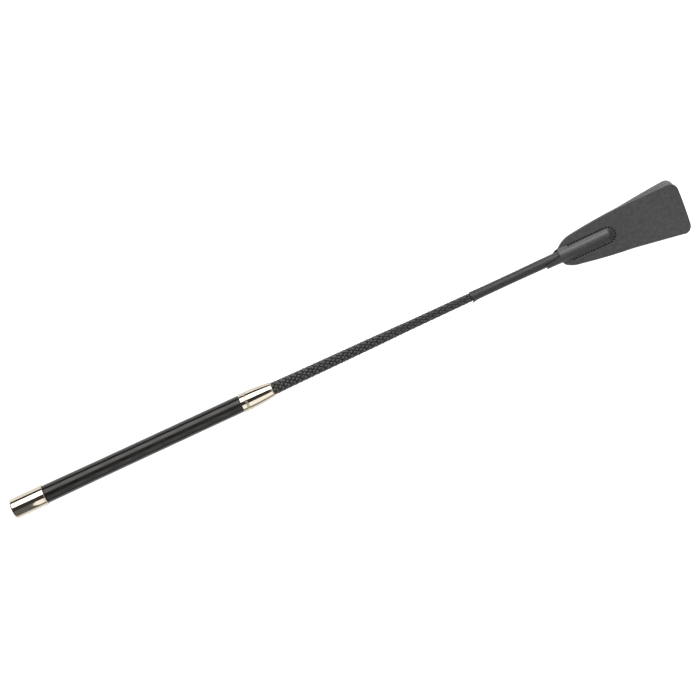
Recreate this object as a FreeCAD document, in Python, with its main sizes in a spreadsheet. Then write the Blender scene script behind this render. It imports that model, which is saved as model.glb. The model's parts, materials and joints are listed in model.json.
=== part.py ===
import FreeCAD, Part

import math
import os

import Sketcher

# A riding crop, lying flat. Millimetres.
# Origin: centre of the butt end. +X runs along the crop to the flapper, +Z is up, out of the flapper's face.
# A station is a distance along X from the butt end. Each turned piece is drawn from its own start.

VECTOR = FreeCAD.Vector
ORIGIN = VECTOR(0, 0, 0)
UP = VECTOR(0, 0, 1)
TOLERANCE = 0.01

DIMENSIONS = [
    # name, value, meaning
    ("overall_length", 648.2, "butt end to the end of a leaf, in its middle"),
    ("cap_length", 32.3, "butt cap, end to end"),
    ("cap_radius", 9.3, "butt cap, outside"),
    ("cap_wall", 1.1, "butt cap, side wall"),
    ("cap_face_radius", 3.5, "flat disc in the middle of the butt end"),
    ("cap_dome_rise", 0.7, "height of the shallow dome round that disc"),
    ("cap_dome_curve", 12.0, "radius of the dome's arc"),
    ("cap_corner", 1.8, "rounding between the dome and the side"),
    ("cap_rim", 0.6, "rounding of the cap's open end"),
    ("cap_floor", 1.5, "depth from the butt end to the inside of the cap"),
    ("grip_length", 190.2, "visible length of the grip"),
    ("grip_butt_radius", 8.15, "grip at the cap"),
    ("grip_middle_radius", 7.8, "grip at a third of its length"),
    ("grip_front_radius", 7.65, "grip at the collar"),
    ("grip_cover", 1.2, "thickness of the grip's cover"),
    ("plug_length", 10.5, "end plug"),
    ("rod_seat", 7.0, "depth of the rod's seat in the end plug"),
    ("rod_radius", 3.6, "fibreglass rod, in the handle"),
    ("rod_tip_radius", 1.8, "fibreglass rod, at its tip"),
    ("collar_length", 30.4, "collar, end to end"),
    ("collar_radius", 8.6, "plain band at the collar's handle end, outside"),
    ("collar_band", 3.9, "length of that band"),
    ("collar_groove", 1.0, "width of the groove beside the band"),
    ("collar_groove_depth", 0.6, "depth of the groove"),
    ("collar_bead", 1.3, "width of the bead beside the groove"),
    ("collar_bead_curve", 1.2, "radius of the bead's arc"),
    ("collar_belly_curve", 190.0, "radius of the long bulging taper"),
    ("collar_front_radius", 6.8, "collar at its front end"),
    ("collar_lip", 1.0, "rolled lip at the front end"),
    ("collar_lip_curve", 1.3, "radius of the lip's arc"),
    ("collar_seat", 16.0, "how far the grip core reaches into the collar"),
    ("collar_seat_radius", 7.5, "grip core inside the collar"),
    ("collar_throat", 1.8, "length of the throat that holds the braid"),
    ("braid_length", 192.6, "visible length of the braid"),
    ("braid_hidden", 13.3, "length of braid inside the collar"),
    ("braid_start_radius", 5.8, "braid at the collar"),
    ("braid_near_radius", 5.4, "braid at a tenth of its length"),
    ("braid_middle_radius", 4.75, "braid at half of its length"),
    ("braid_far_radius", 4.22, "braid at two thirds of its length"),
    ("braid_end_radius", 3.95, "braid at the sleeve"),
    ("braid_thickness", 1.1, "thickness of the plaited cover"),
    ("whipping_length", 7.0, "each band of whipping thread"),
    ("whipping_thickness", 0.4, "whipping thread over the braid"),
    ("start_whipping_radius", 6.1, "whipping inside the collar"),
    ("sleeve_thickness", 0.7, "wrap of the tip sleeve"),
    ("sleeve_waist_radius", 4.35, "sleeve, thinnest stretch"),
    ("sleeve_start_radius", 4.6, "sleeve where it starts over the whipping"),
    ("sleeve_end_radius", 4.55, "sleeve under the flapper's neck"),
    ("sleeve_length", 90.5, "sleeve, end to end"),
    ("sleeve_step", 10.5, "from the sleeve's start to its waist"),
    ("sleeve_waist", 44.0, "from the sleeve's start to the end of its waist"),
    ("sleeve_swell", 66.5, "from the sleeve's start to its full thickness"),
    ("neck_start", 516.0, "station where the flapper's leather starts"),
    ("neck_slant", 13.5, "how much later it starts on the far side"),
    ("neck_start_radius", 5.9, "flapper's neck where it starts"),
    ("neck_end_radius", 6.4, "flapper's neck where the wings start"),
    ("neck_cut_reach", 8.0, "half width of the slanted cut, a little more than the neck"),
    ("pocket_start_radius", 4.9, "pocket, outside, behind the neck"),
    ("pocket_end_radius", 4.7, "pocket, outside, before its nose"),
    ("pocket_start", 33.0, "from the neck's start to the pocket"),
    ("pocket_end", 61.1, "from the neck's start to the nose's start"),
    ("tip_cap_radius", 2.9, "rod's tip cap"),
    ("tip_cap_length", 31.0, "rod's tip cap"),
    ("tip_cap_end_wall", 2.0, "tip cap beyond the rod's tip"),
    ("leather_thickness", 1.6, "each leaf of the flapper"),
    ("leaf_split", 0.3, "gap between the two leaves when they lie together"),
    ("wing_start", 15.0, "from the neck's start to the wing on the +Y side"),
    ("wing_low_start", 13.0, "from the neck's start to the wing on the -Y side"),
    ("wing_start_width", 5.6, "half width where the wings start"),
    ("wing_shoulder", 30.5, "from the neck's start to the end of the round shoulders"),
    ("wing_shoulder_width", 14.15, "half width at the end of the shoulders"),
    ("wing_shoulder_shift", 0.4, "how far the flapper's middle lies to the -Y side there"),
    ("wing_shoulder_curve", 26.0, "radius of the round shoulders"),
    ("wing_side_curve", 500.0, "radius of the almost straight sides behind them"),
    ("hinge_station", 587.0, "line about which the leaves flex"),
    ("hinge_gap", 0.3, "gap between a leaf's root and its panel"),
    ("hinge_width", 19.2, "half width at that line"),
    ("hinge_shift", 1.75, "the same shift at that line"),
    ("leaf_end_width", 24.3, "half width at the leaf's end"),
    ("leaf_end_shift", 3.4, "the same shift at the leaf's end"),
    ("leaf_end_lean", 0.9, "how much further than its middle the leaf's end reaches on the +Y side"),
    ("leaf_end_curve", 420.0, "radius of the slightly bowed end"),
    ("leaf_corner", 8.0, "rounding of the leaf's corners"),
    ("leaf_root_rounding", 0.78, "rounding of the leaf's two edges at the line about which it flexes"),
    ("front_leaf_lift", 12.0, "degrees that the front leaf stands up"),
    ("back_leaf_droop", 6.8, "degrees that the back leaf hangs down, until its end lies as low as the cap"),
    ("stitch_offset", 7.0, "each row of stitches from the seam's middle"),
    ("stitch_shift", 0.95, "how far the seam's middle lies to the -Y side of the rod"),
    ("stitch_start", 25.0, "from the neck's start to the first stitch"),
    ("stitch_end", 68.0, "from the neck's start to the round end of the stitching"),
    ("stitch_pitch", 2.8, "from stitch to stitch"),
    ("stitch_length", 1.9, "thread that shows in each stitch"),
    ("thread_radius", 0.32, "stitching thread"),
]

doc = FreeCAD.newDocument("riding_crop")


class Size:
    """A number together with the spreadsheet formula that gives it."""

    def __init__(self, value, formula=None):
        self.value = float(value)
        self.formula = formula or repr(value)

    def combined(self, sign, other, value):
        return Size(value, f"({self.formula} {sign} {other.formula})")

    def __add__(self, other):
        other = as_size(other)
        return self.combined("+", other, self.value + other.value)

    def __sub__(self, other):
        other = as_size(other)
        return self.combined("-", other, self.value - other.value)

    def __mul__(self, other):
        other = as_size(other)
        return self.combined("*", other, self.value * other.value)

    def __truediv__(self, other):
        other = as_size(other)
        return self.combined("/", other, self.value / other.value)

    def __neg__(self):
        return Size(-self.value, f"(-{self.formula})")


def as_size(number):
    return number if isinstance(number, Size) else Size(number)


class Sizes:
    """The driving dimensions: sizes.NAME is the Size kept in the sheet's cell NAME."""

    def __init__(self, sheet, dimensions):
        for row, (name, value, meaning) in enumerate(dimensions, start=1):
            sheet.set(f"A{row}", name)
            sheet.set(f"B{row}", str(value))
            sheet.setAlias(f"B{row}", name)
            sheet.set(f"C{row}", meaning)
            setattr(self, name, Size(value, f"{sheet.Name}.{name}"))


sizes = Sizes(doc.addObject("Spreadsheet::Sheet", "Sizes"), DIMENSIONS)
doc.recompute()


# ---------------------------------------------------------------- drawing helpers


def bind(owner, path, size):
    """Drive one property of an object, or one constraint of a sketch, from the sheet."""
    owner.setExpression(path, size.formula)


def new_body(label, station, height=0, tilt=0, tilt_axis=UP):
    """A body with its own label, placed along the crop and tilted by some degrees about an axis."""
    body = doc.addObject("PartDesign::Body", label)
    body.Label = label
    body.Placement = FreeCAD.Placement(ORIGIN, FreeCAD.Rotation(tilt_axis, as_size(tilt).value))
    bind(body, "Placement.Base.x", as_size(station))
    bind(body, "Placement.Base.z", as_size(height))
    body.setExpression("Placement.Rotation.Angle", as_size(tilt).formula + " * 1 deg")
    return body


def new_sketch(body, name, role):
    """A sketch on one of the body's own origin planes."""
    sketch = body.newObject("Sketcher::SketchObject", name)
    plane = next(feature for feature in body.Origin.OriginFeatures if feature.Role == role)
    sketch.AttachmentSupport = (plane, [""])
    sketch.MapMode = "FlatFace"
    return sketch


def arc_between(start, end, radius):
    """The short arc from start to end: it turns left for a positive radius, right for a negative one."""
    chord = end - start
    reach = math.sqrt(radius**2 - (chord.Length / 2) ** 2)
    left = VECTOR(-chord.y, chord.x, 0).normalize()
    centre = (start + end) / 2 + left * math.copysign(reach, radius)
    first, last = (start, end) if radius > 0 else (end, start)
    angles = [math.atan2(point.y - centre.y, point.x - centre.x) for point in (first, last)]
    return Part.ArcOfCircle(Part.Circle(centre, UP, abs(radius)), *angles)


def fix_coordinate(sketch, kind, axis, edge, end, size):
    """Hold one coordinate of an edge's end: on an axis where it is zero, else at its size."""
    if size.value == 0:
        sketch.addConstraint(Sketcher.Constraint("PointOnObject", edge, end, axis))
        return
    index = sketch.addConstraint(Sketcher.Constraint(kind, edge, end, size.value))
    bind(sketch, f"Constraints[{index}]", size)


def outline(sketch, corners):
    """Draw a closed outline. A corner is (x, y), or (x, y, radius) where an arc leaves it."""
    horizontal_axis, vertical_axis = -1, -2
    corners = [tuple(as_size(value) for value in corner) for corner in corners]
    points = [VECTOR(corner[0].value, corner[1].value, 0) for corner in corners]
    base = sketch.GeometryCount
    ends = []
    for index, corner in enumerate(corners):
        start, end = points[index], points[(index + 1) % len(points)]
        if len(corner) == 2:
            sketch.addGeometry(Part.LineSegment(start, end), False)
            ends.append((1, 2))
        else:
            sketch.addGeometry(arc_between(start, end, corner[2].value), False)
            ends.append((1, 2) if corner[2].value > 0 else (2, 1))
    for index, corner in enumerate(corners):
        edge = base + index
        following = (index + 1) % len(corners)
        sketch.addConstraint(
            Sketcher.Constraint("Coincident", edge, ends[index][1], base + following, ends[following][0])
        )
        fix_coordinate(sketch, "DistanceX", vertical_axis, edge, ends[index][0], corner[0])
        fix_coordinate(sketch, "DistanceY", horizontal_axis, edge, ends[index][0], corner[1])
        if len(corner) == 3:
            radius = corner[2] if corner[2].value > 0 else -corner[2]
            number = sketch.addConstraint(Sketcher.Constraint("Radius", edge, radius.value))
            bind(sketch, f"Constraints[{number}]", radius)


def revolve(body, kind, corners, angle=360, backwards=False):
    """Turn an outline drawn in X and radius about the body's X axis, to add or to cut away."""
    sketch = new_sketch(body, "profile", "XY_Plane")
    outline(sketch, corners)
    feature = body.newObject(kind, "turning")
    feature.Profile = sketch
    feature.ReferenceAxis = (sketch, ["H_Axis"])
    feature.Angle = angle
    feature.Reversed = backwards
    return feature


def turned(label, start, corners):
    """A turned piece whose outline is drawn in X from its start and in radius."""
    body = new_body(label, start)
    revolve(body, "PartDesign::Revolution", corners)
    return body


def matching_edges(shape, test):
    """Names of the shape's edges that pass the test."""
    return [f"Edge{number}" for number, edge in enumerate(shape.Edges, start=1) if test(edge)]


def round_edges(body, base, test, size):
    """Fillet the edges of a feature that pass the test."""
    doc.recompute()
    fillet = body.newObject("PartDesign::Fillet", "rounding")
    fillet.Base = (base, matching_edges(base.Shape, test))
    fillet.Radius = size.value
    bind(fillet, "Radius", size)
    return fillet


# ---------------------------------------------------------------- stations along the crop

grip_start = sizes.cap_length
collar_start = grip_start + sizes.grip_length
braid_start = collar_start + sizes.collar_length
sleeve_start = braid_start + sizes.braid_length
plug_start = sizes.cap_floor
grip_core_start = plug_start + sizes.plug_length
grip_core_end = collar_start + sizes.collar_seat
rod_start = grip_core_start - sizes.rod_seat
tip_cap_start = sizes.neck_start + sizes.pocket_start
tip_cap_end = tip_cap_start + sizes.tip_cap_length
rod_tip = tip_cap_end - sizes.tip_cap_end_wall
cap_bore_radius = sizes.cap_radius - sizes.cap_wall


def rod_radius_at(station):
    """The rod tapers evenly from the end of the grip core to its tip."""
    done = (station - grip_core_end) / (rod_tip - grip_core_end)
    return sizes.rod_radius - (sizes.rod_radius - sizes.rod_tip_radius) * done


# The grip and the braid taper in a few straight stretches: fraction of the length, radius.
GRIP_TAPER = [
    (0, sizes.grip_butt_radius),
    (1 / 3, sizes.grip_middle_radius),
    (1, sizes.grip_front_radius),
]
BRAID_TAPER = [
    (0, sizes.braid_start_radius),
    (0.11, sizes.braid_near_radius),
    (0.5, sizes.braid_middle_radius),
    (0.68, sizes.braid_far_radius),
    (1, sizes.braid_end_radius),
]


def taper(stages, start, length, inset=0):
    """Corners along a taper, in X from a piece's start, inset by a thickness."""
    return [(start + length * fraction, radius - inset) for fraction, radius in stages]


# ---------------------------------------------------------------- rod, handle and cap


def make_core_rod():
    """Tapered fibreglass rod, from the end plug to the flapper's pocket."""
    taper_start = grip_core_end - rod_start
    return turned("core_rod", rod_start, [
        (0, 0),
        (rod_tip - rod_start, 0),
        (rod_tip - rod_start, sizes.rod_tip_radius),
        (taper_start, sizes.rod_radius),
        (0, sizes.rod_radius),
    ])


def make_end_plug():
    """Turned plug that fills the cap and holds the rod's butt end."""
    seat = sizes.plug_length - sizes.rod_seat
    return turned("end_plug", plug_start, [
        (0, 0),
        (seat, 0),
        (seat, sizes.rod_radius),
        (sizes.plug_length, sizes.rod_radius),
        (sizes.plug_length, cap_bore_radius),
        (0, cap_bore_radius),
    ])


def make_grip_core():
    """Tube on the rod that builds up the handle. Its ends carry the cap and the collar."""
    cover_start = grip_start - grip_core_start
    cover_end = collar_start - grip_core_start
    length = grip_core_end - grip_core_start
    cover_seat = taper(GRIP_TAPER, cover_start, sizes.grip_length, sizes.grip_cover)
    return turned("grip_core", grip_core_start, [
        (0, sizes.rod_radius),
        (length, sizes.rod_radius),
        (length, sizes.collar_seat_radius),
        (cover_end, sizes.collar_seat_radius),
        *reversed(cover_seat),
        (cover_start, cap_bore_radius),
        (0, cap_bore_radius),
    ])


def make_grip_wrap():
    """Cover of the grip, between the cap and the collar."""
    return turned("grip_wrap", grip_start, [
        *taper(GRIP_TAPER, as_size(0), sizes.grip_length, sizes.grip_cover),
        *reversed(taper(GRIP_TAPER, as_size(0), sizes.grip_length)),
    ])


def make_butt_cap():
    """Cup with a shallow dome round a flat disc, a rounded corner and a rounded rim."""
    side_start = sizes.cap_dome_rise + sizes.cap_corner
    return turned("butt_cap", 0, [
        (0, 0),
        (sizes.cap_floor, 0),
        (sizes.cap_floor, cap_bore_radius),
        (sizes.cap_length, cap_bore_radius),
        (sizes.cap_length, sizes.cap_radius - sizes.cap_rim, sizes.cap_rim),
        (sizes.cap_length - sizes.cap_rim, sizes.cap_radius),
        (side_start, sizes.cap_radius, sizes.cap_corner),
        (sizes.cap_dome_rise, sizes.cap_radius - sizes.cap_corner, sizes.cap_dome_curve),
        (0, sizes.cap_face_radius),
    ])


def make_collar():
    """Ferrule with a plain band, a groove, a bead and a bulging taper to the braid."""
    groove_start = sizes.collar_band
    bead_start = groove_start + sizes.collar_groove
    belly_start = bead_start + sizes.collar_bead
    lip_start = sizes.collar_length - sizes.collar_lip
    groove_radius = sizes.collar_radius - sizes.collar_groove_depth
    return turned("collar", collar_start, [
        (0, sizes.collar_seat_radius),
        (sizes.collar_seat, sizes.collar_seat_radius),
        (sizes.collar_length - sizes.collar_throat, sizes.braid_start_radius),
        (sizes.collar_length, sizes.braid_start_radius, sizes.collar_lip_curve),
        (lip_start, sizes.collar_front_radius, sizes.collar_belly_curve),
        (belly_start, sizes.collar_radius, sizes.collar_bead_curve),
        (bead_start, sizes.collar_radius),
        (bead_start, groove_radius),
        (groove_start, groove_radius),
        (groove_start, sizes.collar_radius),
        (0, sizes.collar_radius),
    ])


# ---------------------------------------------------------------- braided shaft


def make_shaft_underlay():
    """Yarn underlay from the grip core to the end of the braid."""
    start = grip_core_end
    end = sleeve_start + sizes.whipping_length
    return turned("shaft_underlay", start, [
        (0, sizes.rod_radius),
        (end - start, rod_radius_at(end)),
        (end - start, sizes.braid_end_radius - sizes.braid_thickness),
        *reversed(taper(BRAID_TAPER, braid_start - start, sizes.braid_length, sizes.braid_thickness)),
        (0, sizes.braid_start_radius - sizes.braid_thickness),
    ])


def make_braid_cover():
    """Plaited cover, from inside the collar to under the sleeve, pinched by the end whipping."""
    start = braid_start - sizes.braid_hidden
    waist_start = sleeve_start - start
    end = waist_start + sizes.whipping_length
    return turned("braid_cover", start, [
        (0, sizes.braid_start_radius - sizes.braid_thickness),
        *taper(BRAID_TAPER, braid_start - start, sizes.braid_length, sizes.braid_thickness),
        (end, sizes.braid_end_radius - sizes.braid_thickness),
        (end, sizes.braid_end_radius - sizes.whipping_thickness),
        (waist_start, sizes.braid_end_radius - sizes.whipping_thickness),
        *reversed(taper(BRAID_TAPER, braid_start - start, sizes.braid_length)),
        (0, sizes.braid_start_radius),
    ])


def make_braid_start_whipping():
    """Thread that ties the start of the braid down inside the collar."""
    return turned("braid_start_whipping", braid_start - sizes.braid_hidden, [
        (0, sizes.braid_start_radius),
        (sizes.whipping_length, sizes.braid_start_radius),
        (sizes.whipping_length, sizes.start_whipping_radius),
        (0, sizes.start_whipping_radius),
    ])


def make_braid_end_whipping():
    """Thread that ties the end of the braid down under the sleeve."""
    return turned("braid_end_whipping", sleeve_start, [
        (0, sizes.braid_end_radius - sizes.whipping_thickness),
        (sizes.whipping_length, sizes.braid_end_radius - sizes.whipping_thickness),
        (sizes.whipping_length, sizes.braid_end_radius),
        (0, sizes.braid_end_radius),
    ])


# ---------------------------------------------------------------- tip sleeve and rod tip


def make_tip_sleeve():
    """Wrap over the shaft's last stretch, thinnest in its waist and swelling to the flapper."""
    inner_waist = sizes.sleeve_waist_radius - sizes.sleeve_thickness
    inner_end = sizes.sleeve_end_radius - sizes.sleeve_thickness
    return turned("tip_sleeve", sleeve_start, [
        (0, sizes.braid_end_radius),
        (sizes.whipping_length, sizes.braid_end_radius),
        (sizes.sleeve_step, inner_waist),
        (sizes.sleeve_waist, inner_waist),
        (sizes.sleeve_swell, inner_end),
        (sizes.sleeve_length, inner_end),
        (sizes.sleeve_length, sizes.sleeve_end_radius),
        (sizes.sleeve_swell, sizes.sleeve_end_radius),
        (sizes.sleeve_waist, sizes.sleeve_waist_radius),
        (sizes.sleeve_step, sizes.sleeve_waist_radius),
        (0, sizes.sleeve_start_radius),
    ])


def make_tip_underlay():
    """Underlay between the rod and the sleeve, ending against the rod's tip cap."""
    start = sleeve_start + sizes.whipping_length
    inner_waist = sizes.sleeve_waist_radius - sizes.sleeve_thickness
    inner_end = sizes.sleeve_end_radius - sizes.sleeve_thickness
    return turned("tip_underlay", start, [
        (0, rod_radius_at(start)),
        (tip_cap_start - start, rod_radius_at(tip_cap_start)),
        (tip_cap_start - start, sizes.tip_cap_radius),
        (sizes.sleeve_length - sizes.whipping_length, inner_end),
        (sizes.sleeve_swell - sizes.whipping_length, inner_end),
        (sizes.sleeve_waist - sizes.whipping_length, inner_waist),
        (sizes.sleeve_step - sizes.whipping_length, inner_waist),
        (0, sizes.braid_end_radius),
    ])


def make_rod_tip_cap():
    """Small round-ended cap on the rod's tip."""
    shoulder = sizes.tip_cap_length - sizes.tip_cap_radius
    return turned("rod_tip_cap", tip_cap_start, [
        (0, rod_radius_at(tip_cap_start)),
        (rod_tip - tip_cap_start, sizes.rod_tip_radius),
        (rod_tip - tip_cap_start, 0),
        (sizes.tip_cap_length, 0, sizes.tip_cap_radius),
        (shoulder, sizes.tip_cap_radius),
        (0, sizes.tip_cap_radius),
    ])


# ---------------------------------------------------------------- flapper


def wing_corners():
    """Outline of the stitched leather, from the neck to the line where the leaf starts to flex."""
    end = sizes.hinge_station - sizes.neck_start - sizes.leather_thickness / 2 - sizes.hinge_gap
    low_shoulder = -sizes.wing_shoulder_width - sizes.wing_shoulder_shift
    high_shoulder = sizes.wing_shoulder_width - sizes.wing_shoulder_shift
    return [
        (sizes.wing_low_start, -sizes.wing_start_width, sizes.wing_shoulder_curve),
        (sizes.wing_shoulder, low_shoulder, sizes.wing_side_curve),
        (end, -sizes.hinge_width - sizes.hinge_shift),
        (end, sizes.hinge_width - sizes.hinge_shift, sizes.wing_side_curve),
        (sizes.wing_shoulder, high_shoulder, sizes.wing_shoulder_curve),
        (sizes.wing_start, sizes.wing_start_width),
    ]


def make_flap_panel(label, upper):
    """Stitched part of one flapper leather: half a neck and pocket round the rod, and flat wings."""
    body = new_body(label, sizes.neck_start)
    nose = sizes.pocket_end + sizes.pocket_end_radius
    revolve(body, "PartDesign::Revolution", [
        (0, 0),
        (nose, 0, sizes.pocket_end_radius),
        (sizes.pocket_end, sizes.pocket_end_radius),
        (sizes.pocket_start, sizes.pocket_start_radius),
        (sizes.wing_start, sizes.neck_end_radius),
        (0, sizes.neck_start_radius),
    ], angle=180, backwards=not upper)
    wings_sketch = new_sketch(body, "wings_outline", "XY_Plane")
    outline(wings_sketch, wing_corners())
    wings = body.newObject("PartDesign::Pad", "wings")
    wings.Profile = wings_sketch
    wings.Reversed = not upper
    bind(wings, "Length", sizes.leather_thickness)
    hollow_pocket(body)
    slant_neck(body)
    return body


def hollow_pocket(body):
    """Cut away the room of the sleeve, the underlay and the rod's tip cap."""
    sleeve_end = sleeve_start + sizes.sleeve_length - sizes.neck_start
    cap_shoulder = tip_cap_end - sizes.tip_cap_radius - sizes.neck_start
    revolve(body, "PartDesign::Groove", [
        (0, 0),
        (tip_cap_end - sizes.neck_start, 0, sizes.tip_cap_radius),
        (cap_shoulder, sizes.tip_cap_radius),
        (sizes.pocket_start, sizes.tip_cap_radius),
        (sleeve_end, sizes.sleeve_end_radius - sizes.sleeve_thickness),
        (sleeve_end, sizes.sleeve_end_radius),
        (0, sizes.sleeve_end_radius),
    ])


def slant_neck(body):
    """Cut the neck's end on the slant, later on the +Y side than on the -Y side."""
    reach = sizes.neck_cut_reach
    slope = sizes.neck_slant / (sizes.neck_end_radius * 2)
    middle = sizes.neck_slant / 2
    cut_sketch = new_sketch(body, "neck_slant", "XY_Plane")
    outline(cut_sketch, [
        (-reach, -reach),
        (middle - slope * reach, -reach),
        (middle + slope * reach, reach),
        (-reach, reach),
    ])
    cut = body.newObject("PartDesign::Pocket", "neck_cut")
    cut.Profile = cut_sketch
    cut.SideType = "Symmetric"
    cut.Type = "ThroughAll"


def make_flap_leaf(label, upper):
    """Free part of one flapper leather, drawn flat from the line about which it flexes."""
    height = sizes.leather_thickness / 2 + sizes.leaf_split / 2
    if upper:
        body = new_body(label, sizes.hinge_station, height, sizes.front_leaf_lift, VECTOR(0, -1, 0))
    else:
        body = new_body(label, sizes.hinge_station, -height, sizes.back_leaf_droop, VECTOR(0, 1, 0))
    length = sizes.overall_length - sizes.hinge_station
    sketch = new_sketch(body, "leaf_outline", "XY_Plane")
    outline(sketch, [
        (0, -sizes.hinge_width - sizes.hinge_shift),
        (length - sizes.leaf_end_lean, -sizes.leaf_end_width - sizes.leaf_end_shift, sizes.leaf_end_curve),
        (length + sizes.leaf_end_lean, sizes.leaf_end_width - sizes.leaf_end_shift),
        (0, sizes.hinge_width - sizes.hinge_shift),
    ])
    leaf = body.newObject("PartDesign::Pad", "leaf")
    leaf.Profile = sketch
    leaf.SideType = "Symmetric"
    bind(leaf, "Length", sizes.leather_thickness)
    corners = round_edges(body, leaf, is_end_corner, sizes.leaf_corner)
    round_edges(body, corners, is_root_edge, sizes.leaf_root_rounding)
    return body


def runs_along(edge, direction):
    """True for an edge that starts out parallel to a direction."""
    return abs(edge.tangentAt(edge.FirstParameter).dot(direction)) > 1 - TOLERANCE


def is_end_corner(edge):
    """True for the two upright edges at the far end of a leaf."""
    return edge.CenterOfMass.x > sizes.leaf_corner.value and runs_along(edge, UP)


def is_root_edge(edge):
    """True for the two long edges on the line where a leaf is drawn from."""
    return abs(edge.CenterOfMass.x) < TOLERANCE and runs_along(edge, VECTOR(0, 1, 0))


def stitch_places():
    """Points along the U of stitching, each with the direction of the seam there."""
    offset = sizes.stitch_offset.value
    pitch = sizes.stitch_pitch.value
    start = sizes.stitch_start.value
    straight = sizes.stitch_end.value - offset - start
    bend = math.pi * offset
    total = 2 * straight + bend
    places = []
    for number in range(round(total / pitch) + 1):
        travel = min(number * total / round(total / pitch), total)
        if travel <= straight:
            places.append((VECTOR(start + travel, offset, 0), VECTOR(1, 0, 0)))
        elif travel <= straight + bend:
            turn = (travel - straight) / offset
            outward = VECTOR(math.sin(turn), math.cos(turn), 0)
            along = VECTOR(math.cos(turn), -math.sin(turn), 0)
            places.append((VECTOR(start + straight, 0, 0) + outward * offset, along))
        else:
            back = travel - straight - bend
            places.append((VECTOR(start + straight - back, -offset, 0), VECTOR(-1, 0, 0)))
    return places


def make_pocket_stitching():
    """Thread of the pocket's seam: each stitch shows above and below and runs through both leathers."""
    radius = sizes.thread_radius.value
    surface = sizes.leather_thickness.value
    length = sizes.stitch_length.value
    stitches = []
    for place, along in stitch_places():
        top = Part.makeCylinder(radius, length, place + VECTOR(0, 0, surface), along)
        bottom = Part.makeCylinder(radius, length, place - VECTOR(0, 0, surface) - along * length, along)
        through = Part.makeCylinder(radius, 2 * surface, place - VECTOR(0, 0, surface), UP)
        joints = [Part.makeSphere(radius, place + VECTOR(0, 0, side * surface)) for side in (-1, 1)]
        stitches.append(through.fuse([top, bottom, *joints]).removeSplitter())
    thread = doc.addObject("Part::Feature", "pocket_stitching")
    thread.Label = "pocket_stitching"
    thread.Shape = Part.makeCompound(stitches)
    seam_middle = VECTOR(sizes.neck_start.value, -sizes.stitch_shift.value, 0)
    thread.Placement = FreeCAD.Placement(seam_middle, FreeCAD.Rotation())
    return thread


# ---------------------------------------------------------------- assembly


def make_all():
    """Every piece of the crop, from the butt to the flapper."""
    return [
        make_butt_cap(),
        make_end_plug(),
        make_core_rod(),
        make_grip_core(),
        make_grip_wrap(),
        make_collar(),
        make_braid_start_whipping(),
        make_shaft_underlay(),
        make_braid_cover(),
        make_braid_end_whipping(),
        make_tip_underlay(),
        make_tip_sleeve(),
        make_rod_tip_cap(),
        make_flap_panel("front_panel", upper=True),
        make_flap_leaf("front_leaf", upper=True),
        make_flap_panel("back_panel", upper=False),
        make_flap_leaf("back_leaf", upper=False),
        make_pocket_stitching(),
    ]


def check_pieces(pieces):
    """Stop if any object failed to recompute, or a piece is empty, broken or in several bodies."""
    for thing in doc.Objects:
        if "Invalid" in thing.State or "Error" in thing.State:
            raise RuntimeError(f"{thing.Label} failed: {thing.State}")
    for piece in pieces:
        if piece.Shape.isNull() or not piece.Shape.isValid():
            raise RuntimeError(f"{piece.Label} has no valid shape")
        if piece.isDerivedFrom("PartDesign::Body") and len(piece.Shape.Solids) != 1:
            raise RuntimeError(f"{piece.Label} is {len(piece.Shape.Solids)} solids")


def write_pieces(pieces):
    """Write each piece to parts/LABEL.step."""
    os.makedirs("parts", exist_ok=True)
    for piece in pieces:
        piece.Shape.exportStep(os.path.join("parts", piece.Label + ".step"))
        print(f"{piece.Label}: {piece.Shape.Volume:.1f} mm3")


pieces = make_all()
doc.recompute()
check_pieces(pieces)
write_pieces(pieces)
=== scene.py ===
import json
import math

import bmesh
import bpy
import numpy as np
from mathutils import Matrix, Vector
from mathutils.bvhtree import BVHTree


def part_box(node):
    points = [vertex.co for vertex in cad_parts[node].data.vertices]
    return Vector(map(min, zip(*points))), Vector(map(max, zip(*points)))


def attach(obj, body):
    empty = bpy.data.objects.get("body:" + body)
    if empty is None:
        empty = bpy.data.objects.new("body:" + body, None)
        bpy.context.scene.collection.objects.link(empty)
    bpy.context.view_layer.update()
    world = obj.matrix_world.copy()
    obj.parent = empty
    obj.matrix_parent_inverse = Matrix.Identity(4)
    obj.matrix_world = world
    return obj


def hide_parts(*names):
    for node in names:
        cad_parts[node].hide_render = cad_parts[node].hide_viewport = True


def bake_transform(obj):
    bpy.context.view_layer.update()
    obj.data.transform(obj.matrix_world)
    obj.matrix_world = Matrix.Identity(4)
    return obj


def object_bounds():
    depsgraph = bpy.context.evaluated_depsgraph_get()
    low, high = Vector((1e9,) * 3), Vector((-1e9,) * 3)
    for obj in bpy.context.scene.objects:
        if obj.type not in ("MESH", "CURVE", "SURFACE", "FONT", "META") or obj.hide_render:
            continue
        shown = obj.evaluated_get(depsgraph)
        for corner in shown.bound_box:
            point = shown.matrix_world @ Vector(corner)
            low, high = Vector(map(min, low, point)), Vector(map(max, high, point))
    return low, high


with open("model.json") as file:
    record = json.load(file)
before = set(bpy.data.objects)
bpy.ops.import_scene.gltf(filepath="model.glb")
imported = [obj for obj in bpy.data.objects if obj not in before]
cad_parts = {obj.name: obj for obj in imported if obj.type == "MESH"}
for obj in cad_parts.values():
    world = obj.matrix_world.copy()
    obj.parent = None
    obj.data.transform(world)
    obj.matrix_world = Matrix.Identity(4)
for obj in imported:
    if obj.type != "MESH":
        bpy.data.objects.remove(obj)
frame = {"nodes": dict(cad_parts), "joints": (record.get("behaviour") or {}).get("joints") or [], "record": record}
cad_low, cad_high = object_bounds()

# A riding crop lying flat along X. Geometry is worked out in millimetres and scaled to metres as it is made.
MM = 0.001
STICK = "stick"


# ---------------------------------------------------------------- places read from the frame


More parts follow.
